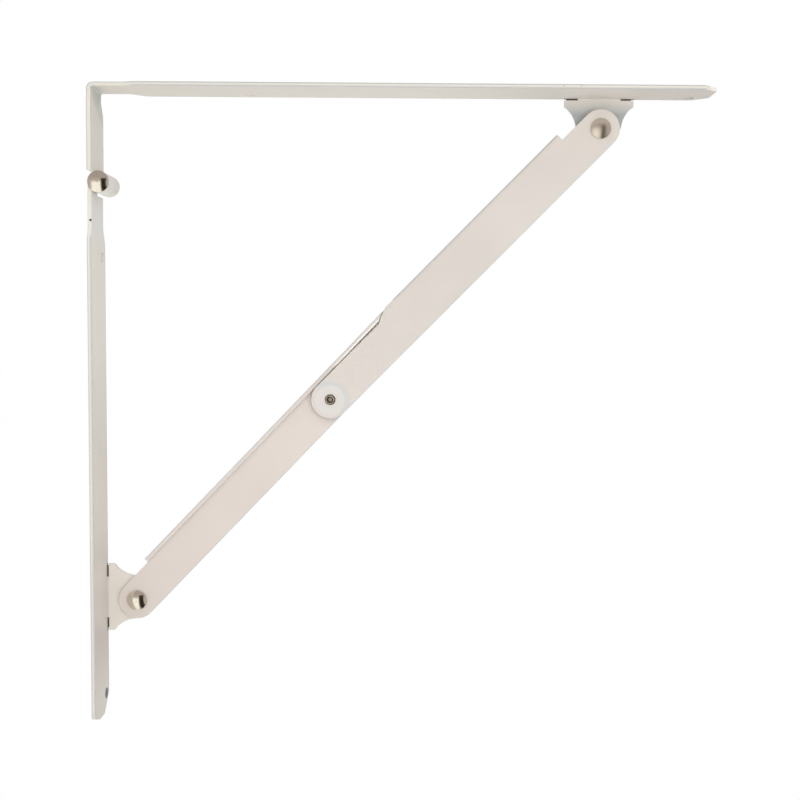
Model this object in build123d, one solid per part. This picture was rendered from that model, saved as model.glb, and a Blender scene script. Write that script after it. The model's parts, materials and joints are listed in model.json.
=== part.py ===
"""Folding shelf bracket: two strip-steel legs on a rolled knuckle hinge, held square by a
two-piece over-centre stay. Millimetres, +X away from the wall, +Y across the strips, +Z up.

The legs are drawn with the shelf's underside corner as origin (wall face x = 0, shelf face z = 0)
and moved at the end, so that the finished frame sits on the wall screws' centre.
"""
import os
from math import asin, atan2, cos, degrees, hypot, radians, sin, tan

from build123d import *

# Strips
STRIP_W = 25.0
STRIP_T = 2.0
EDGE_R = 0.3
WALL_LEG_DROP = 311.4
SHELF_LEG_REACH = 300.0
WALL_TIP_NEAR = (3.0, 8.0)
WALL_TIP_FAR = (9.0, 8.5)
SHELF_TIP_NEAR = (7.0, 5.5)
SHELF_TIP_FAR = (7.0, 5.5)
TIP_R = 2.4
CORNER_BEND_R = 3.1
INSIDE_BEND_R = 1.1

# Necks, where both strips narrow towards the hinge
NECK_NEAR_INSET = 1.5
WALL_NECK_FAR_INSET = 3.0
WALL_NECK_END_Z = -71.5
SHELF_NECK_FAR_INSET = 5.0
SHELF_NECK_END_X = 20.0
NECK_SLOPE = 3.0
NECK_R = 6.0
DOWNTURN_NEAR_INSET = 1.0
DOWNTURN_FAR_INSET = 1.6
DOWNTURN_WIDENS_Z = -10.0
CORNER_PIECE = 6.5

# Screw holes
SCREW_HOLE_R = 2.5
SCREW_FROM_FAR_EDGE = 5.0
WALL_SCREW_FROM_TIP = 9.6
WALL_SCREW_PITCH = 220.0
SHELF_SCREW_FROM_TIP = 10.0
SHELF_SCREW_PITCH = 215.0

# Rolled hinge
HINGE_X = 5.5
HINGE_Z = -47.0
KNUCKLE_R = 5.1
HINGE_PIN_FIT = 0.05
HINGE_PIN_R = KNUCKLE_R - STRIP_T - HINGE_PIN_FIT
KNUCKLE_SPLIT_Y = 11.8
KNUCKLE_SIDE_GAP = 0.1
KNUCKLE_FAR_Y = 21.0
KNUCKLE_END_GAP = 0.4
ROLL_LEAD = 7.0
ROLL_OPEN_DEG = 72.0
HINGE_HEAD_R = 5.15
HINGE_HEAD_H = 2.4
HINGE_TAIL_R = 3.7

# Lugs
LOWER_LUG_Z = -253.1
UPPER_LUG_X = 247.0
LUG_AXIS_H = 15.2
LUG_NOSE_R = 9.7
LUG_HALF_BASE = 17.0
LUG_HALF_NECK = 10.5
LUG_SHOULDER_H = 3.7
LUG_RELIEF = 0.8
LUG_RELIEF_DEPTH = 1.4
LUG_WAIST_HALF = 11.1
LUG_WAIST_H = 13.6
LUG_TANGENT_DEG = 20.0
LUG_BEND_R = 2.2

# Stay
LOWER_PIVOT_OUT = 15.7
LOWER_PIVOT_Z = -254.0
UPPER_PIVOT_OUT = 15.4
UPPER_PIVOT_X = 247.1
KNEE_ALONG = 141.7
KNEE_RISE = 1.4
ARM_T = 2.0
ARM_HALF_W = 9.4
KNEE_GAP = 1.5
RUNNING_GAP = 0.1
LOWER_LIP_OUT = 11.7
LOWER_LIP_START = 18.3
STOP_START = 21.5
STOP_RAMP = 9.0
STOP_INNER_END = 44.6
STOP_END = 49.0
STOP_SLANT_DEG = 24.0
SLANT_TOP = 4.5
TONGUE_FROM = 4.0
TONGUE_LOW = 1.0
TONGUE_END = 51.5
UPPER_LIP_OUT = 13.1
LIP_BEND_R = 2.2
LIP_INSIDE_R = 0.9
UPPER_LIP_START = 43.5
UPPER_LIP_FULL = 54.0
UPPER_LIP_RAMP = 4.0
UPPER_LIP_SHORT_OF_PIVOT = 17.0

# Rivets
RIVET_R = 2.6
RIVET_FIT = 0.05
RIVET_SEAT = 0.05
LUG_HEAD_R = 4.95
LUG_HEAD_H = 2.5
LUG_TAIL_R = 3.6
LUG_TAIL_H = 1.3
SPACER_R = 6.0
KNEE_SHANK_R = 2.1
KNEE_RING_R = 2.6
KNEE_RING_H = 0.6
KNEE_BORE_R = 1.35
KNEE_BORE_DEPTH = 1.2
KNEE_HEAD_R = 4.9
KNEE_HEAD_H = 2.2
KNEE_WASHER_R = 6.0

# Layers across the strips, from the far edge towards the near edge
LUG_FACE_Y = STRIP_W - STRIP_T
LOWER_ARM_Y = LUG_FACE_Y - ARM_T
UPPER_ARM_FAR_Y = LOWER_ARM_Y - KNEE_GAP
UPPER_ARM_Y = UPPER_ARM_FAR_Y - ARM_T

LOWER_PIVOT = (STRIP_T + LOWER_PIVOT_OUT, LOWER_PIVOT_Z)
UPPER_PIVOT = (UPPER_PIVOT_X, -STRIP_T - UPPER_PIVOT_OUT)


def run(start, end):
    """Length and direction in degrees of the straight line between two (x, z) points."""
    dx, dz = end[0] - start[0], end[1] - start[1]
    return hypot(dx, dz), degrees(atan2(dz, dx))


STAY_DEG = run(LOWER_PIVOT, UPPER_PIVOT)[1]
KNEE = (
    LOWER_PIVOT[0] + KNEE_ALONG * cos(radians(STAY_DEG)) - KNEE_RISE * sin(radians(STAY_DEG)),
    LOWER_PIVOT[1] + KNEE_ALONG * sin(radians(STAY_DEG)) + KNEE_RISE * cos(radians(STAY_DEG)),
)
LOWER_ARM_LENGTH, LOWER_ARM_DEG = run(LOWER_PIVOT, KNEE)
UPPER_ARM_LENGTH, UPPER_ARM_DEG = run(KNEE, UPPER_PIVOT)
SCREW_Y = STRIP_W - SCREW_FROM_FAR_EDGE
WALL_SCREW_LOW_Z = WALL_SCREW_FROM_TIP - WALL_LEG_DROP
WALL_SCREW_MID_Z = WALL_SCREW_LOW_Z + WALL_SCREW_PITCH / 2
SHELF_SCREW_TIP_X = SHELF_LEG_REACH - SHELF_SCREW_FROM_TIP


def outline(corners):
    """Flat closed outline; each corner is (u, v, radius)."""
    face = make_face(Polyline(*[(u, v) for u, v, _ in corners], close=True))
    for u, v, radius in corners:
        if radius:
            face = fillet(face.vertices().sort_by_distance((u, v, 0))[0], radius)
    return face


def across(face, y0, y1):
    """Thicken an (x, z) outline across the strips, from y0 to y1."""
    plane = Plane((0, y1, 0), x_dir=(1, 0, 0), z_dir=(0, -1, 0))
    return extrude(plane * face, y1 - y0)


def on_wall(face, thickness=STRIP_T):
    """Thicken a (y, z) outline away from the wall."""
    plane = Plane((0, 0, 0), x_dir=(0, 1, 0), z_dir=(1, 0, 0))
    return extrude(plane * face, thickness)


def box(x0, x1, y0, y1, z0, z1):
    """Block between two corners."""
    centre = Pos((x0 + x1) / 2, (y0 + y1) / 2, (z0 + z1) / 2)
    return centre * Box(abs(x1 - x0), abs(y1 - y0), abs(z1 - z0))


def soft(solid, keep):
    """Break the long edges of a plate, where keep(edge) allows it."""
    return fillet([edge for edge in solid.edges() if keep(edge)], EDGE_R)


def drill_y(x, z, radius, y0=-5.0, y1=30.0):
    """Drill running across the strips."""
    return Pos(x, (y0 + y1) / 2, z) * Rot(90, 0, 0) * Cylinder(radius, y1 - y0)


def turned(x, z, edges):
    """Turn a closed (radius, y) outline about the line across the strips at (x, z)."""
    return Pos(x, 0, z) * revolve(make_face(edges), Axis.Y, 360)


def cap(top_y, rim_r, rim_y):
    """Arc of a round cap from the axis at top_y out to its rim, square to the axis at the top."""
    rise = rim_y - top_y
    radius = (rim_r**2 + rise**2) / (2 * rise)
    half = asin(rim_r / abs(radius)) / 2
    middle = (abs(radius) * sin(half), top_y + radius - radius * cos(half))
    return ThreePointArc((0, top_y), middle, (rim_r, rim_y))


def domed_rivet(x, z, head_y, head_r, head_h, shank_r, tail_y, tail_r, tail_h):
    """Rivet with its domed head on the near side and its upset tail on the far side."""
    rim = 0.35 * head_h
    tail_rim = 0.4 * tail_h
    edges = [
        cap(head_y - head_h, head_r, head_y - rim),
        Line((head_r, head_y - rim), (head_r - 0.25, head_y)),
        Line((head_r - 0.25, head_y), (shank_r, head_y)),
        Line((shank_r, head_y), (shank_r, tail_y)),
        Line((shank_r, tail_y), (tail_r - 0.2, tail_y)),
        Line((tail_r - 0.2, tail_y), (tail_r, tail_y + tail_rim)),
        cap(tail_y + tail_h, tail_r, tail_y + tail_rim),
        Line((0, tail_y + tail_h), (0, head_y - head_h)),
    ]
    return turned(x, z, edges)


def roll(side):
    """Rolled knuckle outline: side +1 rises from below and curls over the pin, -1 is its mirror."""
    inner_r = KNUCKLE_R - STRIP_T
    end = radians(-side * (180.0 - ROLL_OPEN_DEG))
    mid = radians(side * ROLL_OPEN_DEG / 2)

    def ring(radius, angle):
        return (HINGE_X + radius * cos(angle), HINGE_Z + radius * sin(angle))

    lead_z = HINGE_Z - side * ROLL_LEAD
    left_out = (HINGE_X - KNUCKLE_R, HINGE_Z)
    left_in = (HINGE_X - inner_r, HINGE_Z)
    return make_face([
        Line((0, lead_z), left_out),
        ThreePointArc(left_out, ring(KNUCKLE_R, mid), ring(KNUCKLE_R, end)),
        Line(ring(KNUCKLE_R, end), ring(inner_r, end)),
        ThreePointArc(ring(inner_r, end), ring(inner_r, mid), left_in),
        Line(left_in, (STRIP_T, lead_z)),
        Line((STRIP_T, lead_z), (0, lead_z)),
    ])


def lug_outline():
    """Lug seen flat: u along the strip from the pivot, v above the strip's inner face."""
    tangent = radians(LUG_TANGENT_DEG)
    nose = (LUG_NOSE_R * cos(tangent), LUG_AXIS_H + LUG_NOSE_R * sin(tangent))
    shoulder = (LUG_HALF_BASE, LUG_SHOULDER_H)
    waist = (LUG_WAIST_HALF, LUG_WAIST_H)
    bulge = (0.42 * shoulder[0] + 0.58 * waist[0] - 0.7, 0.5 * (shoulder[1] + waist[1]) - 0.5)

    def side(sign):
        return [
            Line((sign * LUG_HALF_NECK, -STRIP_T), (sign * LUG_HALF_NECK, LUG_RELIEF)),
            Line((sign * LUG_HALF_NECK, LUG_RELIEF), (sign * LUG_HALF_BASE, LUG_RELIEF)),
            Line((sign * LUG_HALF_BASE, LUG_RELIEF), (sign * shoulder[0], shoulder[1])),
            ThreePointArc(
                (sign * shoulder[0], shoulder[1]),
                (sign * bulge[0], bulge[1]),
                (sign * waist[0], waist[1]),
            ),
            Line((sign * waist[0], waist[1]), (sign * nose[0], nose[1])),
        ]

    nose_arc = ThreePointArc(nose, (0, LUG_AXIS_H + LUG_NOSE_R), (-nose[0], nose[1]))
    base = Line((-LUG_HALF_NECK, -STRIP_T), (LUG_HALF_NECK, -STRIP_T))
    return make_face(side(1) + side(-1) + [nose_arc, base])


def lug(at, turn):
    """Lug plate on the strip's far edge; at is the foot of its pivot on the strip's inner face."""
    placed = Pos(at[0], at[1]) * Rot(0, 0, turn)
    back = outline([
        (-LUG_HALF_BASE + 1.0, 0, 0),
        (LUG_HALF_BASE - 1.0, 0, 0),
        (LUG_HALF_BASE - 1.0, LUG_SHOULDER_H, 0),
        (-LUG_HALF_BASE + 1.0, LUG_SHOULDER_H, 0),
    ])
    plate = across(placed * lug_outline(), LUG_FACE_Y, STRIP_W)
    return plate + across(placed * back, LUG_FACE_Y + LUG_RELIEF_DEPTH, STRIP_W)


def bend_corner(length):
    """Waste outside a lug's bend: a square corner less its quarter round, about the origin."""
    block = Pos(0, 0, 0) * Box(2 * LUG_BEND_R, 2 * LUG_BEND_R, length)
    round_bar = Pos(LUG_BEND_R, -LUG_BEND_R, 0) * Cylinder(LUG_BEND_R, length + 1)
    quarter = Pos(LUG_BEND_R / 2, -LUG_BEND_R / 2, 0) * Box(LUG_BEND_R, LUG_BEND_R, length)
    return (quarter & block) - round_bar


def wall_leg():
    """Wall strip, its near knuckle and its lug, all one piece."""
    near = NECK_NEAR_INSET
    far = STRIP_W - WALL_NECK_FAR_INSET
    top = HINGE_Z - ROLL_LEAD
    tip = -WALL_LEG_DROP
    face = outline([
        (near, top, 0),
        (near, WALL_NECK_END_Z + NECK_SLOPE, NECK_R),
        (0, WALL_NECK_END_Z - NECK_SLOPE, NECK_R),
        (0, tip + WALL_TIP_NEAR[0], TIP_R),
        (WALL_TIP_NEAR[1], tip, TIP_R),
        (STRIP_W - WALL_TIP_FAR[1], tip, TIP_R),
        (STRIP_W, tip + WALL_TIP_FAR[0], TIP_R),
        (STRIP_W, WALL_NECK_END_Z - NECK_SLOPE, NECK_R),
        (far, WALL_NECK_END_Z + NECK_SLOPE, NECK_R),
        (far, top, 0),
    ])
    strip = on_wall(face)
    strip = soft(strip, lambda e: e.center().Z < top - 0.1 and abs(e.center().X - STRIP_T / 2) > 0.9)
    body = strip + across(roll(1), near, KNUCKLE_SPLIT_Y - KNUCKLE_SIDE_GAP / 2)
    step_top = HINGE_Z - KNUCKLE_R - KNUCKLE_END_GAP
    body += box(0, STRIP_T, KNUCKLE_SPLIT_Y + 0.2, far, top, step_top)
    body += lug((STRIP_T, LOWER_LUG_Z), -90)
    body -= Pos(0, STRIP_W, LOWER_LUG_Z) * bend_corner(2 * LUG_HALF_NECK)
    body -= drill_y(LOWER_PIVOT[0], LOWER_PIVOT[1], RIVET_R + RIVET_FIT)
    for z in (WALL_SCREW_LOW_Z, WALL_SCREW_LOW_Z + WALL_SCREW_PITCH):
        body -= Pos(STRIP_T / 2, SCREW_Y, z) * Rot(0, 90, 0) * Cylinder(SCREW_HOLE_R, 3 * STRIP_T)
    return body


def shelf_leg():
    """Shelf strip, its down-turned end with the far knuckle, and its lug, all one piece."""
    near = NECK_NEAR_INSET
    far = STRIP_W - SHELF_NECK_FAR_INSET
    tip = SHELF_LEG_REACH
    face = outline([
        (CORNER_PIECE, near, 0),
        (SHELF_NECK_END_X - NECK_SLOPE, near, NECK_R),
        (SHELF_NECK_END_X + NECK_SLOPE, 0, NECK_R),
        (tip - SHELF_TIP_NEAR[0], 0, TIP_R),
        (tip, SHELF_TIP_NEAR[1], TIP_R),
        (tip, STRIP_W - SHELF_TIP_FAR[1], TIP_R),
        (tip - SHELF_TIP_FAR[0], STRIP_W, TIP_R),
        (SHELF_NECK_END_X + NECK_SLOPE, STRIP_W, NECK_R),
        (SHELF_NECK_END_X - NECK_SLOPE, far, NECK_R),
        (CORNER_PIECE, far, 0),
    ])
    strip = extrude(Pos(0, 0, -STRIP_T) * face, STRIP_T)
    strip = soft(strip, lambda e: e.center().X > CORNER_PIECE + 0.1 and abs(e.center().Z + STRIP_T / 2) > 0.9)
    bend = outline([
        (0, 0, CORNER_BEND_R),
        (CORNER_PIECE, 0, 0),
        (CORNER_PIECE, -STRIP_T, 0),
        (STRIP_T, -STRIP_T, INSIDE_BEND_R),
        (STRIP_T, -CORNER_PIECE, 0),
        (0, -CORNER_PIECE, 0),
    ])
    body = strip + across(bend, near, far)
    low_near = DOWNTURN_NEAR_INSET
    low_far = STRIP_W - DOWNTURN_FAR_INSET
    lead = HINGE_Z + ROLL_LEAD
    down = outline([
        (near, -CORNER_PIECE, 0),
        (low_near, DOWNTURN_WIDENS_Z - NECK_SLOPE, 2.0),
        (low_near, lead, 0),
        (low_far, lead, 0),
        (low_far, DOWNTURN_WIDENS_Z - NECK_SLOPE, 2.0),
        (far, -CORNER_PIECE, 0),
    ])
    body += on_wall(down)
    step_low = HINGE_Z + KNUCKLE_R + KNUCKLE_END_GAP
    body += box(0, STRIP_T, low_near, KNUCKLE_SPLIT_Y - 0.2, lead, step_low)
    body += across(roll(-1), KNUCKLE_SPLIT_Y + KNUCKLE_SIDE_GAP / 2, KNUCKLE_FAR_Y)
    body += lug((UPPER_LUG_X, -STRIP_T), 180)
    body -= Pos(UPPER_LUG_X, STRIP_W, 0) * Rot(0, 90, 0) * bend_corner(2 * LUG_HALF_NECK)
    body -= drill_y(UPPER_PIVOT[0], UPPER_PIVOT[1], RIVET_R + RIVET_FIT)
    for x in (SHELF_SCREW_TIP_X, SHELF_SCREW_TIP_X - SHELF_SCREW_PITCH):
        body -= Pos(x, SCREW_Y, -STRIP_T / 2) * Cylinder(SCREW_HOLE_R, 3 * STRIP_T)
    return body


def along_arm(at, turn, part):
    """Place a part drawn with u along an arm and v square to it, origin on the arm's lower end."""
    return Pos(at[0], 0, at[1]) * Rot(0, -turn, 0) * part


def lip(profile, s0, s1):
    """Run a (v, y) section along an arm from s0 to s1."""
    plane = Plane((s0, 0, 0), x_dir=(0, 0, 1), z_dir=(1, 0, 0))
    return extrude(plane * profile, s1 - s0)


def slanted_end(s, v, foot, far_s):
    """Waste between a lip's slanted end, which passes v at s, and far_s, from foot below v up."""
    slope = tan(radians(STOP_SLANT_DEG))
    return outline([
        (s - foot / slope, v - foot, 0),
        (s + SLANT_TOP / slope, v + SLANT_TOP, 0),
        (far_s, v + SLANT_TOP, 0),
        (far_s, v - foot, 0),
    ])


def lower_stay_arm():
    """Lower arm: plate behind, lip towards the near side, and the stop past the knee."""
    knee = LOWER_ARM_LENGTH
    far = LUG_FACE_Y
    near = LOWER_ARM_Y
    lip_top = UPPER_ARM_FAR_Y + RUNNING_GAP
    lip_in = LOWER_LIP_OUT - ARM_T
    plate = outline([
        (-ARM_HALF_W, -ARM_HALF_W, 0.98 * ARM_HALF_W),
        (knee + TONGUE_FROM, -ARM_HALF_W, 8.0),
        (knee + TONGUE_END, TONGUE_LOW, 3.0),
        (knee + TONGUE_END, ARM_HALF_W, 0),
        (-ARM_HALF_W, ARM_HALF_W, 0.98 * ARM_HALF_W),
    ])
    body = soft(across(plate, near, far), lambda e: abs(e.center().Y - (near + far) / 2) > 0.9)
    fold = outline([
        (ARM_HALF_W - 1.0, -far, 0),
        (LOWER_LIP_OUT, -far, LIP_BEND_R),
        (LOWER_LIP_OUT, -lip_top, 0),
        (lip_in, -lip_top, 0),
        (lip_in, -near, LIP_INSIDE_R),
        (ARM_HALF_W - 1.5, -near, 0),
    ])
    body += lip(fold, LOWER_LIP_START, knee + STOP_END)
    edge = outline([
        (ARM_HALF_W - 1.0, -far, 0),
        (LOWER_LIP_OUT, -far, LIP_BEND_R / 2),
        (LOWER_LIP_OUT, -near, 0),
        (ARM_HALF_W - 1.0, -near, 0),
    ])
    body += lip(edge, knee + STOP_END - 1.0, knee + TONGUE_END)
    stop = outline([
        (knee + STOP_START, lip_top + 0.5, 0),
        (knee + STOP_START + STOP_RAMP, UPPER_ARM_Y, 6.0),
        (knee + STOP_END, UPPER_ARM_Y, 2.0),
        (knee + STOP_END, lip_top + 0.5, 0),
    ])
    body += extrude(Pos(0, 0, lip_in) * stop, ARM_T)
    past_stop = slanted_end(knee + STOP_INNER_END, lip_in, 1.0, knee + TONGUE_END + 6.0)
    body -= across(past_stop, UPPER_ARM_Y - 1.0, lip_top)
    for s, radius in ((0, RIVET_R), (knee, KNEE_SHANK_R)):
        body -= drill_y(s, 0, radius + RIVET_FIT)
    return along_arm(LOWER_PIVOT, LOWER_ARM_DEG, body)


def upper_stay_arm():
    """Upper arm: plate in front, with its lip folded to the far side."""
    near = UPPER_ARM_Y
    far = UPPER_ARM_FAR_Y
    end = UPPER_ARM_LENGTH
    lip_top = LOWER_ARM_Y - RUNNING_GAP
    lip_in = UPPER_LIP_OUT - ARM_T
    plate = outline([
        (-ARM_HALF_W, -ARM_HALF_W, 0.98 * ARM_HALF_W),
        (end + ARM_HALF_W, -ARM_HALF_W, 0.98 * ARM_HALF_W),
        (end + ARM_HALF_W, ARM_HALF_W, 0.98 * ARM_HALF_W),
        (-ARM_HALF_W, ARM_HALF_W, 0.98 * ARM_HALF_W),
    ])
    body = soft(across(plate, near, far), lambda e: abs(e.center().Y - (near + far) / 2) > 0.9)
    fold = outline([
        (ARM_HALF_W - 1.0, -near, 0),
        (UPPER_LIP_OUT, -near, LIP_BEND_R),
        (UPPER_LIP_OUT, -lip_top, 0),
        (lip_in, -lip_top, 0),
        (lip_in, -far, LIP_INSIDE_R / 2),
        (ARM_HALF_W - 1.0, -far, 0),
    ])
    body += lip(fold, UPPER_LIP_START, end - UPPER_LIP_SHORT_OF_PIVOT)
    clear_of_washer = outline([
        (UPPER_LIP_START - 1.0, far, 0),
        (UPPER_LIP_FULL, far, 0),
        (UPPER_LIP_FULL + UPPER_LIP_RAMP, lip_top + 1.0, 0),
        (UPPER_LIP_START - 1.0, lip_top + 1.0, 0),
    ])
    body -= extrude(Pos(0, 0, ARM_HALF_W + 0.5) * clear_of_washer, UPPER_LIP_OUT)
    before_lip = slanted_end(UPPER_LIP_START, ARM_HALF_W, 0.0, UPPER_LIP_START - 1.0)
    body -= across(before_lip, near - 1.0, lip_top + 1.0)
    for s, radius in ((0, KNEE_SHANK_R), (end, RIVET_R)):
        body -= drill_y(s, 0, radius + RIVET_FIT)
    return along_arm(KNEE, UPPER_ARM_DEG, body)


def washer(x, z, outer_r, hole_r, y0, y1):
    """Plain ring between two plates."""
    return drill_y(x, z, outer_r, y0, y1) - drill_y(x, z, hole_r)


def knee_rivet_head():
    """Knee rivet's head and shank, ending just short of the upper arm."""
    y0 = UPPER_ARM_FAR_Y + RUNNING_GAP
    y1 = LUG_FACE_Y + RIVET_SEAT
    edges = [
        Line((0, y0), (KNEE_SHANK_R, y0)),
        Line((KNEE_SHANK_R, y0), (KNEE_SHANK_R, y1)),
        Line((KNEE_SHANK_R, y1), (KNEE_HEAD_R - 0.25, y1)),
        Line((KNEE_HEAD_R - 0.25, y1), (KNEE_HEAD_R, y1 + 0.3 * KNEE_HEAD_H)),
        cap(y1 + KNEE_HEAD_H, KNEE_HEAD_R, y1 + 0.3 * KNEE_HEAD_H),
        Line((0, y1 + KNEE_HEAD_H), (0, y0)),
    ]
    return turned(KNEE[0], KNEE[1], edges)


def knee_rivet_tail():
    """Knee rivet's tubular tail, flared on the upper arm's near face."""
    back = UPPER_ARM_FAR_Y - RIVET_SEAT
    seat = UPPER_ARM_Y - RIVET_SEAT
    front = seat - KNEE_RING_H
    bottom = front + KNEE_BORE_DEPTH
    edges = [
        Line((0, back), (KNEE_SHANK_R, back)),
        Line((KNEE_SHANK_R, back), (KNEE_SHANK_R, seat)),
        Line((KNEE_SHANK_R, seat), (KNEE_RING_R, seat)),
        Line((KNEE_RING_R, seat), (KNEE_RING_R, front + 0.3)),
        ThreePointArc(
            (KNEE_RING_R, front + 0.3),
            ((KNEE_RING_R + KNEE_BORE_R) / 2, front - 0.1),
            (KNEE_BORE_R, front + 0.3),
        ),
        Line((KNEE_BORE_R, front + 0.3), (KNEE_BORE_R, bottom)),
        Line((KNEE_BORE_R, bottom), (0, bottom)),
        Line((0, bottom), (0, back)),
    ]
    return turned(KNEE[0], KNEE[1], edges)


NODES = {
    "wall_leg": wall_leg(),
    "shelf_leg": shelf_leg(),
    "lower_stay_arm": lower_stay_arm(),
    "upper_stay_arm": upper_stay_arm(),
    "hinge_rivet": domed_rivet(
        HINGE_X, HINGE_Z, NECK_NEAR_INSET - RIVET_SEAT, HINGE_HEAD_R, HINGE_HEAD_H,
        HINGE_PIN_R, KNUCKLE_FAR_Y + RIVET_SEAT, HINGE_TAIL_R, LUG_TAIL_H,
    ),
    "lower_lug_rivet": domed_rivet(
        LOWER_PIVOT[0], LOWER_PIVOT[1], LOWER_ARM_Y - RIVET_SEAT, LUG_HEAD_R, LUG_HEAD_H,
        RIVET_R, STRIP_W + RIVET_SEAT, LUG_TAIL_R, LUG_TAIL_H,
    ),
    "upper_lug_rivet": domed_rivet(
        UPPER_PIVOT[0], UPPER_PIVOT[1], UPPER_ARM_Y - RIVET_SEAT, LUG_HEAD_R, LUG_HEAD_H,
        RIVET_R, STRIP_W + RIVET_SEAT, LUG_TAIL_R, LUG_TAIL_H,
    ),
    "upper_lug_spacer": washer(
        UPPER_PIVOT[0], UPPER_PIVOT[1], SPACER_R, RIVET_R + RIVET_FIT, UPPER_ARM_FAR_Y, LUG_FACE_Y
    ),
    "knee_washer": washer(
        KNEE[0], KNEE[1], KNEE_WASHER_R, KNEE_SHANK_R + RIVET_FIT,
        UPPER_ARM_FAR_Y + RUNNING_GAP, LOWER_ARM_Y,
    ),
    "knee_rivet_head": knee_rivet_head(),
    "knee_rivet_tail": knee_rivet_tail(),
}

os.makedirs("parts", exist_ok=True)
for name, solid in NODES.items():
    placed = Pos(0, -SCREW_Y, -WALL_SCREW_MID_Z) * solid
    placed.label = name
    export_step(placed, f"parts/{name}.step")
    size = placed.bounding_box().size
    print(f"{name}: {len(placed.solids())} solid, {placed.volume:.0f} mm3, "
          f"{size.X:.1f} x {size.Y:.1f} x {size.Z:.1f} mm")
print(f"lower arm {LOWER_ARM_LENGTH:.3f} at {LOWER_ARM_DEG:.3f} deg, "
      f"upper arm {UPPER_ARM_LENGTH:.3f} at {UPPER_ARM_DEG:.3f} deg, knee {KNEE[0]:.3f}, {KNEE[1]:.3f}")
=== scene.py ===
# %% [markdown]
# # A folding shelf bracket in warm white powder coat
# Two steel strips meet in a rolled hinge, and a stay made of two flat arms holds them square.
# The solids come ready made, so this lesson is about finishes: a powder coat with its soft
# pebbled skin, worn spots where the metal shows, and bright nickel on domed rivets.
# %% Load the bracket
import json

import bpy
import numpy as np
from mathutils import Matrix, Vector


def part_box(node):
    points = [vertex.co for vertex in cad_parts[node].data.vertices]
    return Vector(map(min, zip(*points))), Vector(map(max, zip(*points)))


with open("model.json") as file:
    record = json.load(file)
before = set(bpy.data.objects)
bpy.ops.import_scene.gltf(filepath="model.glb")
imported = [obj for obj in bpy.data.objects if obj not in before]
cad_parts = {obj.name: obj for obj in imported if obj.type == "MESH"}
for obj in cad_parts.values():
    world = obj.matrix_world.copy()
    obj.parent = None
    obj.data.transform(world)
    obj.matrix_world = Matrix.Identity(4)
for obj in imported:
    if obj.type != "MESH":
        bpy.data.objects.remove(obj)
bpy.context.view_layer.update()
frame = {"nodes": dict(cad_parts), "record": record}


nodes = frame["nodes"]
print("nodes:", sorted(nodes))

# %% [markdown]
# ## The viewpoint
# A product shot of a thin bracket is taken square on, with a long lens a little over half a metre
# away, so both strips show a sliver of their inner faces. The camera is placed by its aim, its
# roll and its focal length, and a rotation matrix is built from three unit vectors.

# %% Camera
CAMERA_AT = Vector((0.1523, -0.5395, 0.0749))
CAMERA_YAW, CAMERA_PITCH, CAMERA_ROLL = np.radians([-0.24, -3.65, 0.46])
FOCAL_PER_WIDTH = 1.35325
SENSOR_MM = 36.0
CLIP_NEAR = 0.01


def camera_axes(yaw, pitch, roll):
    """Forward from yaw and pitch; right and up are turned about it by the roll."""
    forward = Vector((np.sin(yaw) * np.cos(pitch), np.cos(yaw) * np.cos(pitch), np.sin(pitch)))
    level = Vector((np.cos(yaw), -np.sin(yaw), 0.0))
    upright = level.cross(forward)
    right = level * np.cos(roll) + upright * np.sin(roll)
    up = upright * np.cos(roll) - level * np.sin(roll)
    return right, up, forward


right, up, forward = camera_axes(CAMERA_YAW, CAMERA_PITCH, CAMERA_ROLL)
camera_data = bpy.data.cameras.new("bracket_camera")
camera_data.sensor_width = SENSOR_MM
camera_data.lens = FOCAL_PER_WIDTH * SENSOR_MM
camera_data.clip_start = CLIP_NEAR
camera = bpy.data.objects.new("bracket_camera", camera_data)
turn = Matrix((right, up, -forward)).transposed()
camera.matrix_world = Matrix.Translation(CAMERA_AT) @ turn.to_4x4()
bpy.context.collection.objects.link(camera)
bpy.context.scene.camera = camera
print("lens mm:", round(camera_data.lens, 2))

# %% [markdown]
# ## Writing shaders as sums
# A node tree is easier to read as arithmetic. `Value` wraps one output socket, and its operators
# add Math nodes; `Shader.node` makes any other node, sets its settings first and then its inputs.

# %% Shader arithmetic
class Value:
    """One number socket that can be added, multiplied and compared with others."""

    def __init__(self, shader, socket):
        self.shader = shader
        self.socket = socket

    def _math(self, operation, a, b, clamp=False):
        settings = {"operation": operation, "use_clamp": clamp}
        made = self.shader.node("ShaderNodeMath", settings, {0: a, 1: b})
        return Value(self.shader, made.outputs[0])

    def __add__(self, other):
        return self._math("ADD", self, other)

    __radd__ = __add__

    def __mul__(self, other):
        return self._math("MULTIPLY", self, other)

    __rmul__ = __mul__

    def __sub__(self, other):
        return self._math("SUBTRACT", self, other)

    def __rsub__(self, other):
        return self._math("SUBTRACT", other, self)

    def __truediv__(self, other):
        return self._math("DIVIDE", self, other)

    def __pow__(self, other):
        return self._math("POWER", self, other)

    def __abs__(self):
        return self._math("ABSOLUTE", self, 0.0)

    def clamped(self):
        """The number held between 0 and 1."""
        return self._math("ADD", self, 0.0, clamp=True)

    def above(self, edge, width):
        """Soft step: 0 below edge, 1 above edge + width."""
        return ((self - edge) / width).clamped()

    def between(self, low, high, width):
        """1 from low to high, fading to 0 over this width outside them."""
        return self.above(low - width, width) * (1.0 - self.above(high, width))


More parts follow.
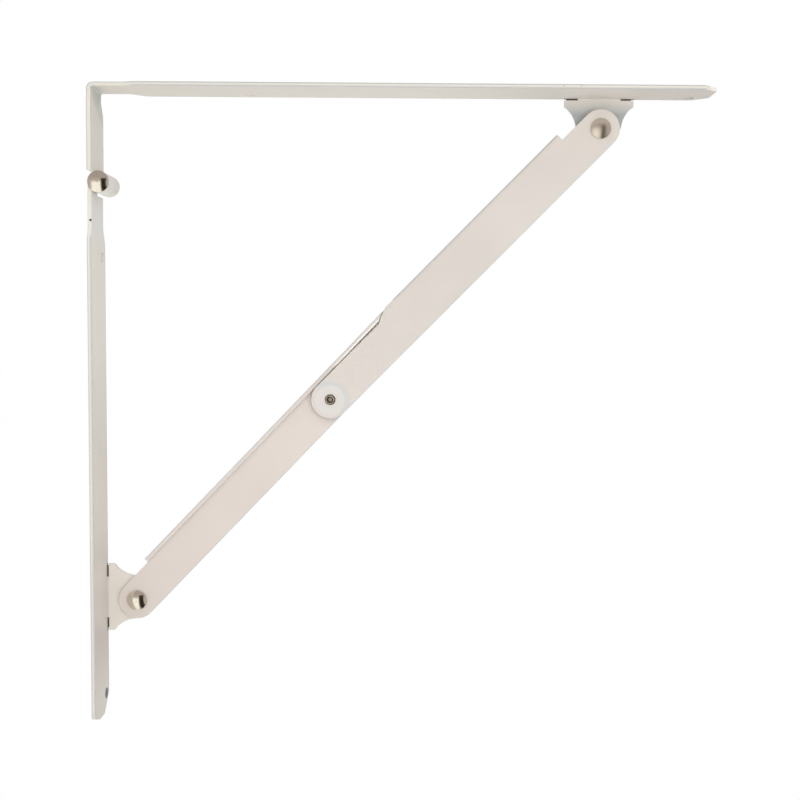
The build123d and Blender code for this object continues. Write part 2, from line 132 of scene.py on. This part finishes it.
class Shader:
    """A node tree with one method that adds any node; place is where its patterns are read."""

    def __init__(self, owner, output, place):
        owner.use_nodes = True
        self.tree = owner.node_tree
        self.output = self.tree.nodes[output]
        self.coordinates = self.node("ShaderNodeTexCoord", {}, {}).outputs
        self.place = self.coordinates[place]

    def node(self, kind, settings, sockets):
        """Add a node of this kind, apply its settings, then fill or link its sockets."""
        made = self.tree.nodes.new(kind)
        for name, value in settings.items():
            setattr(made, name, value)
        for key, value in sockets.items():
            self.plug(made.inputs[key], value)
        return made

    def plug(self, socket, value):
        """Link a socket to another one, or set it to a plain value."""
        source = value.socket if isinstance(value, Value) else value
        if isinstance(source, bpy.types.NodeSocket):
            self.tree.links.new(source, socket)
        else:
            socket.default_value = source

    def noise(self, scale, detail=2.0, roughness=0.5):
        """Fractal noise at this many bumps per metre, about 0.5 on average."""
        sockets = {"Vector": self.place, "Scale": scale, "Detail": detail, "Roughness": roughness}
        return Value(self, self.node("ShaderNodeTexNoise", {}, sockets).outputs["Fac"])

    def mix(self, mask, low, high):
        """Colour that goes from low to high as the mask goes from 0 to 1."""
        sockets = {"Factor": mask, 6: low, 7: high}
        return self.node("ShaderNodeMix", {"data_type": "RGBA"}, sockets).outputs[2]

    def distance(self, point):
        """Distance in metres from a point on the piece."""
        settings = {"operation": "DISTANCE"}
        made = self.node("ShaderNodeVectorMath", settings, {0: self.place, 1: point})
        return Value(self, made.outputs["Value"])

    def axis(self, name):
        """One coordinate of the piece, X, Y or Z."""
        return Value(self, self.node("ShaderNodeSeparateXYZ", {}, {0: self.place}).outputs[name])

    def along(self, direction, start):
        """Distance in metres from a start point, measured along a unit direction."""
        ends = {0: self.place, 1: tuple(start)}
        away = self.node("ShaderNodeVectorMath", {"operation": "SUBTRACT"}, ends)
        sockets = {0: away.outputs["Vector"], 1: tuple(direction)}
        made = self.node("ShaderNodeVectorMath", {"operation": "DOT_PRODUCT"}, sockets)
        return Value(self, made.outputs["Value"])

    def reach(self, first, second, start):
        """Distance in metres from a line: the root of the squares of two directions' distances."""
        return (self.along(first, start) ** 2.0 + self.along(second, start) ** 2.0) ** 0.5

    def sideways(self):
        """0 where a surface faces along Y, 1 where it faces square to Y."""
        facing = self.node("ShaderNodeSeparateXYZ", {}, {0: self.coordinates["Normal"]})
        return 1.0 - abs(Value(self, facing.outputs["Y"]))

    def bump(self, height, distance):
        """Surface tilt from a height pattern, where a height of 1 is this many metres."""
        sockets = {"Height": height, "Distance": distance}
        return self.node("ShaderNodeBump", {}, sockets).outputs["Normal"]

    def rays(self, kind):
        """1 for rays of this kind, else 0."""
        return Value(self, self.node("ShaderNodeLightPath", {}, {}).outputs[kind])

    def choose(self, mask, low, high):
        """Shader that goes from low to high as the mask goes from 0 to 1."""
        return self.node("ShaderNodeMixShader", {}, {0: mask, 1: low, 2: high}).outputs[0]


class Finish(Shader):
    """A material, patterned on the piece's own coordinates."""

    def __init__(self, name):
        self.material = bpy.data.materials.new(name)
        super().__init__(self.material, "Material Output", "Object")
        self.surface = self.tree.nodes["Principled BSDF"]


def linear(red, green, blue):
    """A display colour from 0 to 255, as the linear colour that Blender works in."""
    parts = np.array([red, green, blue]) / 255.0
    curve = np.where(parts <= 0.04045, parts / 12.92, ((parts + 0.055) / 1.055) ** 2.4)
    return (*[float(c) for c in curve], 1.0)


print("shader helpers ready")

# %% [markdown]
# ## Where things are
# The finishes change near the pivots and along the sheared edges, so a few places are worked out
# from the boxes of the solids: the three stay pivots, the strips' outer faces and their edges.

# %% Landmarks
def middle(name):
    """Middle of a node's box: half of its two corners' sum, in metres."""
    low, high = (np.array(corner, float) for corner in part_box(name))
    return (low + high) / 2


LOWER_PIVOT = middle("lower_lug_rivet")
KNEE = middle("knee_washer")
UPPER_PIVOT = middle("upper_lug_spacer")


def arm_axes(start, end):
    """Unit vector along an arm, from its X and Z steps alone, and that vector a quarter turn on."""
    run = (end - start) * np.array([1.0, 0.0, 1.0])
    run /= np.linalg.norm(run)
    return run, np.array([-run[2], 0.0, run[0]])


LOWER_SIDE = arm_axes(LOWER_PIVOT, KNEE)[1]
UPPER_RUN, UPPER_SIDE = arm_axes(KNEE, UPPER_PIVOT)
WALL_FACE, NEAR_EDGE, LEG_FOOT = (float(v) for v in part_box("wall_leg")[0])
SHELF_TOP = float(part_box("shelf_leg")[1][2])
FAR_EDGE = float(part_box("wall_leg")[1][1])
STRIP = 0.002
mounts = {mount["name"]: mount for mount in frame["record"]["mounts"]}


def screw_holes(name, axis, key):
    """The two holes of a bolt pattern, half their spacing each way along one axis."""
    centre, half = np.array(mounts[name]["pos_m"]), mounts[name]["dims"][key] / 2000
    step = np.array([float(letter == axis) for letter in "XYZ"]) * half
    return [centre - step, centre + step]


WALL_HOLES = screw_holes("wall_screws", "Z", "spacing_y_mm")
SHELF_HOLES = screw_holes("shelf_screws", "X", "spacing_x_mm")
HOLE_R = mounts["wall_screws"]["dims"]["hole_r_mm"] / 1000
print("holes:", [h.round(4).tolist() for h in WALL_HOLES + SHELF_HOLES])
print("knee at", KNEE.round(4), "shelf top", round(SHELF_TOP, 4), "edges", NEAR_EDGE, FAR_EDGE)

# %% [markdown]
# ## Powder coat
# Powder coat is baked plastic dust. It flows into a skin with very shallow pebbles a millimetre to
# a few across, and pools a little thicker in places. The colour comes from two slow noises, the
# pebbles from two fine ones through one Bump node, and the painted shade along the edges and the
# chip from distances to lines and points.

# %% Powder coat
# Painted shade: the grey along the strips' corner lines and along the arms' edges and sides.
EDGE_SHADE_GREY = linear(186, 189, 191)
PEBBLE_HIGH = 0.00002
RIM_DEPTH = 0.002


def powder_coat(name, tone):
    """Satin coat of this tone; returns the finish, which keeps its pebbles, and its colour.

    The tone drifts from a shade darker to a shade lighter with a slow noise, and a quicker noise
    spots it and moves its roughness. The pebbles are a weighted sum of two fine noises.
    """
    coat = Finish(name)
    cloud = coat.noise(14.0, detail=3.0, roughness=0.6)
    mottle = coat.noise(120.0, detail=3.0, roughness=0.6)
    darker, lighter, spotted = (linear(*[c + step for c in tone]) for step in (-4, 2, -7))
    thin = coat.mix(cloud.above(0.38, 0.3), darker, lighter)
    colour = coat.mix(mottle.above(0.55, 0.25) * 0.35, thin, spotted)
    coat.plug(coat.surface.inputs["Roughness"], 0.42 + (mottle - 0.5) * 0.16)
    coat.surface.inputs["Specular IOR Level"].default_value = 0.42
    coat.pebbles = coat.noise(900.0) * 0.7 + coat.noise(260.0) * 1.6
    return coat, colour


def close_coat(coat, colour):
    """Link the finished colour and the pebbled skin, and return the material."""
    coat.plug(coat.surface.inputs["Base Color"], colour)
    coat.plug(coat.surface.inputs["Normal"], coat.bump(coat.pebbles, PEBBLE_HIGH))
    return coat.material


def corner_line(coat, axis, face, edge, width):
    """Mask of the line where a strip's face meets its edge: 1 on it, 0 this far from either."""
    from_face = 1.0 - abs(coat.axis(axis) - face) / width
    from_edge = 1.0 - abs(coat.axis("Y") - edge) / width
    return from_face.clamped() * from_edge.clamped()


def painted_edge_shade(coat, colour, axis, inner, outer):
    """Painted shade along three corner lines: the sum of both near ones and the inner far one."""
    line = corner_line(coat, axis, inner, NEAR_EDGE, 0.0009)
    line = line + corner_line(coat, axis, inner, FAR_EDGE, 0.0012)
    line = line + corner_line(coat, axis, outer, NEAR_EDGE, 0.0008)
    return coat.mix((line * 1.6).clamped() * 0.7, colour, EDGE_SHADE_GREY)


def near_rim(coat):
    """Mask of a strip's near edge: 1 on it, with a soft step down at this depth behind it."""
    return 1.0 - coat.axis("Y").above(NEAR_EDGE + RIM_DEPTH, 0.0005)


print("pebble height scale, mm:", PEBBLE_HIGH * 1000)

# %% [markdown]
# ## Chips, and painted shade in slots, holes and corners, on the legs
# The legs carry the wear: one dark chip on the wall leg's edge below the hinge and faint specks on
# the shelf leg's edge towards its end. The wall leg is a cooler tone at its neck, and the shelf leg
# where it turns down. Painted shade darkens the narrow slots beside the lugs, the shelf leg's lug,
# the bent corner's outer line, a face beside a crease inside it, and the screw holes: the wall
# leg's lower hole fully and the shelf leg's outer one partly. The two holes nearer the corner are
# assumed ones: one is painted partly dark and the other not at all. Each of these is a mask, mixed
# over the base colour in turn.

# %% Legs
CHIP_COLOUR = linear(70, 62, 56)
CHIP_DROP, CHIP_IN, CHIP_R = 0.0652, 0.0015, 0.00062
SPECK_COLOUR = linear(190, 184, 174)
SPECK_X, SPECK_R = (0.2265, 0.2345), 0.0004
BEND_R = 0.0031
SHADE_FROM, SHADE_TO, PALE_FROM = LEG_FOOT + 0.040, LEG_FOOT + 0.065, LEG_FOOT + 0.13
NECK_FOOT = SHELF_TOP - 0.079
TURN_DOWN, LUG_FROM = SHELF_TOP - 0.010, WALL_FACE + 0.012
CREASE_FROM, CREASE_SLOPE, CREASE_FOOT = 0.003, 1.45, 0.03
# Painted shade in the relief slots beside the lugs.
SLOT_SHADE = linear(112, 98, 82)
# Painted shade on the screw holes' walls and rims.
HOLE_SHADE = linear(128, 130, 132)
OUTWARD, ACROSS, UPWARD = np.eye(3)
LUG_NEAR = FAR_EDGE - STRIP
SLOT_FROM, SLOT_TO, SLOT_HIGH = 0.0103, 0.0172, 0.0010
WALL_LUG_Z = float(LOWER_PIVOT[2]) + 0.0009
SHELF_LUG_X = float(UPPER_PIVOT[0]) - 0.0001


def spots(coat, places, radius):
    """Mask of spots about these points: distance, made ragged by fine noise, under the radius."""
    mask = None
    for place in places:
        ragged = coat.distance(tuple(place)) + (coat.noise(1500.0) - 0.5) * radius
        spot = 1.0 - ragged.above(radius * 0.8, radius * 0.35)
        mask = spot if mask is None else mask + spot
    return mask.clamped()


def painted_hole_shade(coat, hole, first, second):
    """Painted shade on a hole's wall and rim: under its radius, by two unit vectors across it."""
    return 1.0 - coat.reach(first, second, hole).above(HOLE_R + 0.00005, 0.00025)


def painted_slot_shade(coat, along, middle_at, across, base_at):
    """Painted shade in a lug's two relief slots: bands of distance from its middle and its foot."""
    away = abs(coat.axis(along) - middle_at).between(SLOT_FROM, SLOT_TO, 0.0002)
    foot = abs(coat.axis(across) - base_at).between(-0.001, SLOT_HIGH, 0.0002)
    return away * foot * coat.axis("Y").above(LUG_NEAR + 0.0001, 0.0001)


def near_edge_painted_tone(coat, colour):
    """Colour with the strip's thin near edge, by its facing, a little yellower: painted light."""
    facing = 1.0 - coat.sideways().above(0.2, 0.3)
    return coat.mix(facing * near_rim(coat) * 0.7, colour, linear(222, 217, 204))


def wall_coat():
    """Wall leg: warmer and darker below, cooler at the neck, one chip on the near edge."""
    coat, colour = powder_coat("coat_wall_leg", (232, 226, 217))
    height = coat.axis("Z")
    on_strip = 1.0 - coat.axis("X").above(WALL_FACE + STRIP + 0.0002, 0.001)
    low = height.between(SHADE_FROM, SHADE_TO, 0.03) * on_strip
    colour = coat.mix(low * 0.65, colour, linear(212, 202, 195))
    colour = coat.mix(height.above(PALE_FROM, 0.06), colour, linear(240, 235, 226))
    neck = height.above(NECK_FOOT, 0.008)
    colour = coat.mix(neck * 0.75, colour, linear(236, 236, 231))
    colour = near_edge_painted_tone(coat, colour)
    colour = painted_edge_shade(coat, colour, "X", WALL_FACE + STRIP, WALL_FACE)
    slots = painted_slot_shade(coat, "Z", WALL_LUG_Z, "X", WALL_FACE + STRIP)
    # Painted shade in the slots beside the wall leg's lug.
    colour = coat.mix(slots, colour, SLOT_SHADE)
    # Painted shade in the wall leg's holes, full in the lower one, partial in the assumed upper one.
    for hole, shade_share in zip(WALL_HOLES, (1.0, 0.3)):
        colour = coat.mix(painted_hole_shade(coat, hole, ACROSS, UPWARD) * shade_share, colour, HOLE_SHADE)
    chip_at = (WALL_FACE + CHIP_IN, NEAR_EDGE + CHIP_IN, SHELF_TOP - CHIP_DROP)
    chip = spots(coat, [chip_at], CHIP_R)
    coat.pebbles = coat.pebbles - chip * 3.0
    return close_coat(coat, coat.mix(chip, colour, CHIP_COLOUR))


def corner_edge_shade(coat):
    """Mask of painted shade along the outer line of the bent corner, on its near edge.

    The depth below the outer surface is R (1 - |(a, b)|), where a and b fall from 1 to 0 over the
    bend radius R along the two legs.
    """
    into_shelf = (1.0 - (coat.axis("X") - WALL_FACE) / BEND_R).clamped()
    into_wall = (1.0 - (SHELF_TOP - coat.axis("Z")) / BEND_R).clamped()
    depth = (1.0 - (into_shelf ** 2.0 + into_wall ** 2.0) ** 0.5) * BEND_R
    return (1.0 - depth.above(0.0002, 0.0005)) * near_rim(coat)


def crease_shade(coat):
    """Mask of the painted shade on the face above the slanting crease inside the bent corner.

    The crease is a straight line on the leg's inner face, from a point on the near edge just below
    the shelf: its distance from that edge is its drop below the point times its slope.
    """
    below = SHELF_TOP - CREASE_FROM - coat.axis("Z")
    slant = (coat.axis("Y") - NEAR_EDGE - below * CREASE_SLOPE).above(0.0, 0.0015)
    inside = coat.axis("X").between(WALL_FACE + STRIP - 0.0002, WALL_FACE + 0.004, 0.0002)
    return slant * inside * coat.axis("Z").above(SHELF_TOP - CREASE_FOOT, 0.01)


def shelf_coat():
    """Shelf leg: paler outwards, cooler where it turns down, specks towards the end."""
    coat, colour = powder_coat("coat_shelf_leg", (224, 218, 210))
    colour = coat.mix(coat.axis("X").above(0.05, 0.2), colour, linear(237, 231, 223))
    turned_down = 1.0 - coat.axis("Z").above(TURN_DOWN, 0.008)
    over_strip = 1.0 - coat.axis("X").above(LUG_FROM, 0.002)
    colour = coat.mix(turned_down * over_strip * 0.7, colour, linear(237, 233, 226))
    # Painted shade on the lug below the shelf leg.
    lug_painted_shade = turned_down * (1.0 - over_strip)
    colour = coat.mix(lug_painted_shade * 0.9, colour, linear(166, 172, 172))
    colour = near_edge_painted_tone(coat, colour)
    colour = painted_edge_shade(coat, colour, "Z", SHELF_TOP - STRIP, SHELF_TOP)
    # Painted shade along the bent corner's outer line.
    colour = coat.mix(corner_edge_shade(coat) * 0.6, colour, linear(168, 170, 170))
    # Painted shade on the face above the crease inside the corner.
    colour = coat.mix(crease_shade(coat) * 0.6, colour, linear(208, 213, 206))
    slots = painted_slot_shade(coat, "X", SHELF_LUG_X, "Z", SHELF_TOP - STRIP)
    # Painted shade in the slots beside the shelf leg's lug.
    colour = coat.mix(slots, colour, SLOT_SHADE)
    # Painted shade, partial, in the shelf leg's outer hole.
    colour = coat.mix(painted_hole_shade(coat, SHELF_HOLES[1], OUTWARD, ACROSS) * 0.4, colour, HOLE_SHADE)
    edge_z = SHELF_TOP - STRIP * 0.45
    specks = spots(coat, [(x, NEAR_EDGE, edge_z) for x in SPECK_X], SPECK_R)
    return close_coat(coat, coat.mix(specks * 0.7, colour, SPECK_COLOUR))


print("lug middles:", round(WALL_LUG_Z, 4), round(SHELF_LUG_X, 4))

# %% [markdown]
# ## Stay arms
# On the flat arms the coat is clean. Painted shade greys the long edges and the sides, except beside
# the stop, where both arms' sides and the lower arm's face carry painted light. At the knee the upper
# arm keeps a round print of the rivet press: a paler disc with a faint cool rim on its upper side.

# %% Arms
ARM_HALF = 0.0094
UPPER_LIP_AT, LOWER_LIP_AT = 0.0131, 0.0117
STOP_FROM, STOP_TO = 0.014, 0.056
GAP_FROM, GAP_TO = 0.0088, 0.0104
# Painted light: the pale on the arms' sides and on the gap's floor beside the stop.
GAP_PAINTED_LIGHT = linear(243, 238, 231)
PRINT_R = 0.0070


def arm_coat(name, tone, across, start, edge_up, edge_down, painted_light_floor=0.0):
    """Arm with painted shade on its long edges at these distances from its middle line, up and down.

    Its sides carry painted shade, and beside the stop painted light instead, as does the face there
    if the last argument is 1.
    Each band is a soft step on the distance from the middle line or on the distance from the knee.
    """
    coat, colour = powder_coat(name, tone)
    side = coat.along(across, start)
    edges = side.above(edge_up - 0.0008, 0.0005) + (0.0 - side).above(edge_down - 0.0005, 0.0004)
    sides = coat.sideways().above(0.15, 0.5)
    beside_stop = coat.along(UPPER_RUN, KNEE).between(STOP_FROM, STOP_TO, 0.002)
    edges = edges + sides * (1.0 - beside_stop)
    # Painted shade greys the arm's long edges and its sides.
    colour = coat.mix(edges.clamped() * 0.75, colour, EDGE_SHADE_GREY)
    # Painted light on the sides beside the stop, and on the gap floor when the last argument is 1.
    gap = (sides + side.between(GAP_FROM, GAP_TO, 0.0002) * painted_light_floor).clamped()
    return coat, coat.mix(gap * beside_stop, colour, GAP_PAINTED_LIGHT)


def upper_arm_coat():
    """Upper arm: the knee print, by distance from the knee's axis, over the plain arm coat."""
    tone = (217, 209, 201)
    coat, colour = arm_coat("coat_upper_arm", tone, UPPER_SIDE, KNEE, UPPER_LIP_AT, ARM_HALF)
    out = coat.reach(UPPER_RUN, UPPER_SIDE, KNEE)
    disc = 1.0 - out.above(PRINT_R, 0.0010)
    rim = out.above(PRINT_R - 0.0004, 0.0008) * (1.0 - out.above(PRINT_R + 0.0016, 0.0022))
    upper_side = coat.along(UPPER_RUN, KNEE).above(-0.002, 0.004)
    colour = coat.mix(disc * 0.55, colour, linear(221, 220, 215))
    return close_coat(coat, coat.mix(rim * upper_side * 0.6, colour, linear(202, 205, 206)))


def lower_arm_coat():
    """Lower arm: the plain arm coat, with painted light on the floor of the gap beside the stop."""
    tone = (220, 210, 202)
    arm = arm_coat("coat_lower_arm", tone, LOWER_SIDE, LOWER_PIVOT, LOWER_LIP_AT, ARM_HALF, 1.0)
    return close_coat(*arm)


finishes = {
    "wall_leg": wall_coat(),
    "shelf_leg": shelf_coat(),
    "lower_stay_arm": lower_arm_coat(),
    "upper_stay_arm": upper_arm_coat(),
}
print("coated:", sorted(finishes))

# %% [markdown]
# ## Nickel
# Plated rivets are nearly mirrors. A faint uneven skin and small dull specks stop them from
# looking like glass, and a slightly warm tint tells nickel from chrome. Rings of painted highlight
# and painted shade pick out the knee rivet's hollow end, each a step on the distance from the
# rivet's own axis.

# %% Nickel material
PLATE_SKIN, TAIL_SKIN = 0.000006, 0.00002
TAIL_DIP_R, TAIL_HOLLOW_R, TAIL_RIM_R = 0.0008, 0.00145, 0.0021


def nickel(name, tone, dullness):
    """Nickel plate with an uneven skin and a few dull specks; dullness is its least roughness."""
    plate = Finish(name)
    haze = plate.noise(700.0, detail=4.0, roughness=0.6)
    specks = plate.noise(2600.0).above(0.63, 0.06)
    colour = plate.mix(specks * 0.5, linear(*tone), linear(160, 152, 142))
    plate.plug(plate.surface.inputs["Base Color"], colour)
    plate.plug(plate.surface.inputs["Roughness"], dullness + haze.above(0.45, 0.3) * 0.1)
    plate.plug(plate.surface.inputs["Normal"], plate.bump(plate.noise(1400.0, detail=3.0), PLATE_SKIN))
    plate.surface.inputs["Metallic"].default_value = 1.0
    return plate.material


def knee_tail_painted_rings():
    """Knee tail, outwards, in painted light and shade: pale dip, dark hollow, pale rim, dark rim foot.
    """
    tail = Finish("knee_tail_painted_light")
    out = tail.reach(UPPER_RUN, UPPER_SIDE, KNEE)
    grain = tail.noise(2200.0)
    hollow = out.above(TAIL_DIP_R, 0.0003)
    rim = out.above(TAIL_HOLLOW_R, 0.0002)
    foot = out.above(TAIL_RIM_R, 0.0003)
    # Painted highlight in the dip and on the rim, painted shade in the hollow and at the rim's foot.
    colour = tail.mix(hollow, linear(176, 166, 154), linear(88, 76, 64))
    colour = tail.mix(rim, colour, linear(188, 180, 168))
    tail.plug(tail.surface.inputs["Base Color"], tail.mix(foot, colour, linear(92, 78, 64)))
    tail.plug(tail.surface.inputs["Roughness"], 0.3 + grain * 0.2)
    tail.plug(tail.surface.inputs["Normal"], tail.bump(grain, TAIL_SKIN))
    tail.surface.inputs["Metallic"].default_value = 1.0
    return tail.material


finishes["knee_rivet_tail"] = knee_tail_painted_rings()
finishes["upper_lug_rivet"] = nickel("nickel_dull", (222, 212, 202), dullness=0.34)
rivet_metal = nickel("nickel_plate", (228, 223, 214), dullness=0.14)
for name, node in nodes.items():
    for slot in node.material_slots:
        slot.material = finishes.setdefault(name, rivet_metal)
print("finishes set:", {name: mat.name for name, mat in finishes.items()})

# %% [markdown]
# ## Studio
# White paper lies under the bracket and the sky is even, so only shape and finish show. The camera
# sees paper and sky as clean white. A bright rivet is a small curved mirror and looks dull in an
# all-white room, so reflections find another one: warm grey walls under a darker ceiling, a cream
# window low on the left and a dark doorway on the right, painted on the sky by direction.

# %% Paper and sky
WHITE = (1.0, 1.0, 1.0, 1.0)
PAPER_GREY = (0.85, 0.85, 0.85, 1.0)


def paper(name, keep_shadow):
    """White paper: to the camera, pure white with this share of its real shading mixed in.

    Reflections pass through it to the sky.
    """
    sheet = Finish(name)
    sheet.surface.inputs["Base Color"].default_value = PAPER_GREY
    sheet.surface.inputs["Roughness"].default_value = 0.9
    glow = sheet.node("ShaderNodeEmission", {}, {"Color": WHITE, "Strength": 1.0})
    clear = sheet.node("ShaderNodeBsdfTransparent", {}, {}).outputs[0]
    seen = sheet.rays("Is Camera Ray") * (1.0 - keep_shadow)
    look = sheet.choose(seen, sheet.surface.outputs[0], glow.outputs[0])
    look = sheet.choose(sheet.rays("Is Glossy Ray"), look, clear)
    sheet.plug(sheet.output.inputs["Surface"], look)
    return sheet.material


def quad(name, centre, across, along, material):
    """Flat four-cornered sheet: its centre, plus and minus each of two half-edge vectors."""
    centre, across, along = (np.array(v, float) for v in (centre, across, along))
    corners = [centre - across - along, centre + across - along]
    corners += [centre + across + along, centre - across + along]
    mesh = bpy.data.meshes.new(name)
    mesh.from_pydata([tuple(c) for c in corners], [], [(0, 1, 2, 3)])
    mesh.materials.append(material)
    sheet = bpy.data.objects.new(name, mesh)
    bpy.context.collection.objects.link(sheet)


FLOOR_AT = (0.15, 0.6, LEG_FOOT - 0.03)
FLOOR_HALF = 4.0
SHADOW_SHARE = 0.01
SKY_LIGHT, ROOM_LIGHT = 0.84, 1.2
across, away = (FLOOR_HALF, 0.0, 0.0), (0.0, FLOOR_HALF, 0.0)
quad("paper_floor", FLOOR_AT, across, away, paper("paper", SHADOW_SHARE))

world = bpy.data.worlds.new("studio_sky")
bpy.context.scene.world = world
sky = Shader(world, "World Output", "Generated")
rightward, upward = sky.axis("X"), sky.axis("Z")
window = rightward.between(-0.72, 0.02, 0.14) * upward.between(-0.90, 0.00, 0.20)
doorway = rightward.between(0.14, 0.56, 0.07) * upward.between(-0.90, 0.38, 0.10)
room = sky.mix(upward.above(0.20, 0.35), linear(182, 174, 164), linear(166, 155, 147))
room = sky.mix(rightward.above(0.70, 0.15), room, linear(186, 180, 174))
room = sky.mix(window, room, linear(255, 252, 240))
room = sky.mix(doorway, room, linear(42, 34, 24))


def backdrop(colour, strength):
    """Sky of one colour, or of a pattern."""
    return sky.node("ShaderNodeBackground", {}, {"Color": colour, "Strength": strength}).outputs[0]


mirrored = sky.rays("Is Glossy Ray")
lit = sky.choose(mirrored, backdrop(WHITE, SKY_LIGHT), backdrop(room, ROOM_LIGHT))
seen = sky.choose(sky.rays("Is Camera Ray"), lit, backdrop(WHITE, 1.0))
sky.plug(sky.output.inputs["Surface"], seen)
print("paper at z =", round(FLOOR_AT[2], 4))

# %% [markdown]
# ## Lights
# Three large soft boxes: a key in front and above, a weak one on the left that keeps the wall leg's
# broad face a shade darker than the arms, and one low in front that lifts the shelf's underside.

# %% Soft boxes
def soft_box(name, at, aim, size, watts):
    """Square area light at a point, turned to face another, left out of reflections."""
    data = bpy.data.lights.new(name, "AREA")
    data.energy = watts
    data.size = size
    light = bpy.data.objects.new(name, data)
    light.location = at
    light.rotation_euler = (Vector(aim) - Vector(at)).to_track_quat("-Z", "Y").to_euler()
    light.visible_glossy = False
    bpy.context.collection.objects.link(light)


STAY_MIDDLE = (0.12, 0.0, 0.03)
UNDER_SHELF = (0.12, 0.0, 0.15)
soft_box("box_front", (0.35, -1.30, 0.55), STAY_MIDDLE, size=0.9, watts=2.7)
soft_box("box_left", (-0.9, -0.9, 0.35), STAY_MIDDLE, size=0.7, watts=0.8)
soft_box("box_below", (0.45, -0.85, -0.16), UNDER_SHELF, size=0.6, watts=3.0)

# %% [markdown]
# ## Colour view
# The lesson adds finishes and no pieces. Its colours are shown through Blender's Standard view
# transform.

# %% Finish
bpy.context.scene.view_settings.view_transform = "Standard"
